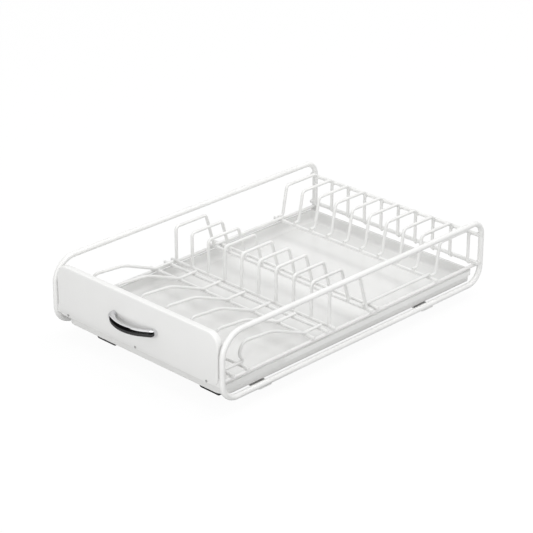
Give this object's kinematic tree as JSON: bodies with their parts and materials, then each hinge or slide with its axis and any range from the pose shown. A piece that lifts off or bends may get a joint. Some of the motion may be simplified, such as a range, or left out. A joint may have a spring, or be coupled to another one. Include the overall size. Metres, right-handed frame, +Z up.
{
  "type": "pull-out dish rack",
  "caption": "Wire dish rack with front panel, bow handle, bowl arches, plate dividers and drip tray, pulled out of a cabinet on telescopic slides lying flat.",
  "frame": {"origin": "on the cabinet floor, in the middle of the four floor screw holes of the two slides", "axes": "+X to the right seen from the front, +Y from the front panel to the rear of the rack, +Z up"},
  "size_m": [0.29, 0.4778, 0.1027],
  "materials": {
    "white_paint_tube": "satin powder coat",
    "white_paint_wire": "satin powder coat",
    "white_paint_sheet": "smooth satin paint",
    "rivet_steel": "painted over",
    "handle_chrome": "mirror chrome",
    "screw_steel": "zinc plated",
    "black_slide_steel": "black electrophoretic coat",
    "ball_steel": "polished balls in a pressed strip",
    "white_tray": "glossy moulding"
  },
  "bodies": {
    "fixed_slides": {"left_slide_outer": "black_slide_steel", "right_slide_outer": "black_slide_steel"},
    "outer_cages": {"outer_ball_cages": "ball_steel"},
    "middle_slides": {"left_slide_middle": "black_slide_steel", "right_slide_middle": "black_slide_steel"},
    "inner_cages": {"inner_ball_cages": "ball_steel"},
    "rack": {"left_side_loop": "white_paint_tube", "right_side_loop": "white_paint_tube", "left_side_wire": "white_paint_wire", "right_side_wire": "white_paint_wire", "front_cross_wire": "white_paint_wire", "bowl_rail_front": "white_paint_wire", "bowl_rail_middle": "white_paint_wire", "bowl_rail_rear": "white_paint_wire", "plate_rail_front": "white_paint_wire", "plate_rail_second": "white_paint_wire", "plate_rail_third": "white_paint_wire", "plate_rail_rear": "white_paint_wire", "rear_bottom_rail": "white_paint_wire", "rear_top_rail": "white_paint_wire", "left_edge_wire": "white_paint_wire", "right_edge_wire": "white_paint_wire", "front_divider_01": "white_paint_wire", "front_divider_02": "white_paint_wire", "front_divider_03": "white_paint_wire", "front_divider_04": "white_paint_wire", "front_divider_05": "white_paint_wire", "front_divider_06": "white_paint_wire", "front_divider_07": "white_paint_wire", "front_divider_08": "white_paint_wire", "front_divider_09": "white_paint_wire", "front_divider_10": "white_paint_wire", "rear_divider_01": "white_paint_wire", "rear_divider_02": "white_paint_wire", "rear_divider_03": "white_paint_wire", "rear_divider_04": "white_paint_wire", "rear_divider_05": "white_paint_wire", "rear_divider_06": "white_paint_wire", "rear_divider_07": "white_paint_wire", "rear_divider_08": "white_paint_wire", "rear_divider_09": "white_paint_wire", "rear_divider_10": "white_paint_wire", "bowl_arch_1": "white_paint_wire", "bowl_arch_2": "white_paint_wire", "bowl_arch_3": "white_paint_wire", "bowl_arch_4": "white_paint_wire", "bowl_arch_5": "white_paint_wire", "bowl_arch_6": "white_paint_wire", "bowl_arch_7": "white_paint_wire", "front_panel": "white_paint_sheet", "panel_bar": "white_paint_sheet", "panel_rivets": "rivet_steel", "pull_handle": "handle_chrome", "handle_screws": "screw_steel", "front_strap": "white_paint_sheet", "rear_strap": "white_paint_sheet", "strap_screws": "screw_steel", "left_slide_inner": "black_slide_steel", "right_slide_inner": "black_slide_steel"},
    "tray": {"drip_tray": "white_tray"}
  },
  "joints": [
    {"name": "rack_pull", "type": "slide", "parent": "fixed_slides", "child": "rack", "axis": [0, -1, 0], "range_m": [0, 0.4]},
    {"name": "middle_travel", "type": "slide", "parent": "fixed_slides", "child": "middle_slides", "axis": [0, -1, 0], "range_m": [0, 0.2]},
    {"name": "outer_cage_travel", "type": "slide", "parent": "fixed_slides", "child": "outer_cages", "axis": [0, -1, 0], "range_m": [0, 0.1]},
    {"name": "inner_cage_travel", "type": "slide", "parent": "fixed_slides", "child": "inner_cages", "axis": [0, -1, 0], "range_m": [0, 0.3]},
    {"name": "tray_draw", "type": "slide", "parent": "rack", "child": "tray", "axis": [0, -1, 0], "range_m": [0, 0.44]}
  ],
  "couplings": [
    {"joint": "middle_travel", "follows": "rack_pull", "ratio": 0.5},
    {"joint": "outer_cage_travel", "follows": "rack_pull", "ratio": 0.25},
    {"joint": "inner_cage_travel", "follows": "rack_pull", "ratio": 0.75}
  ]
}
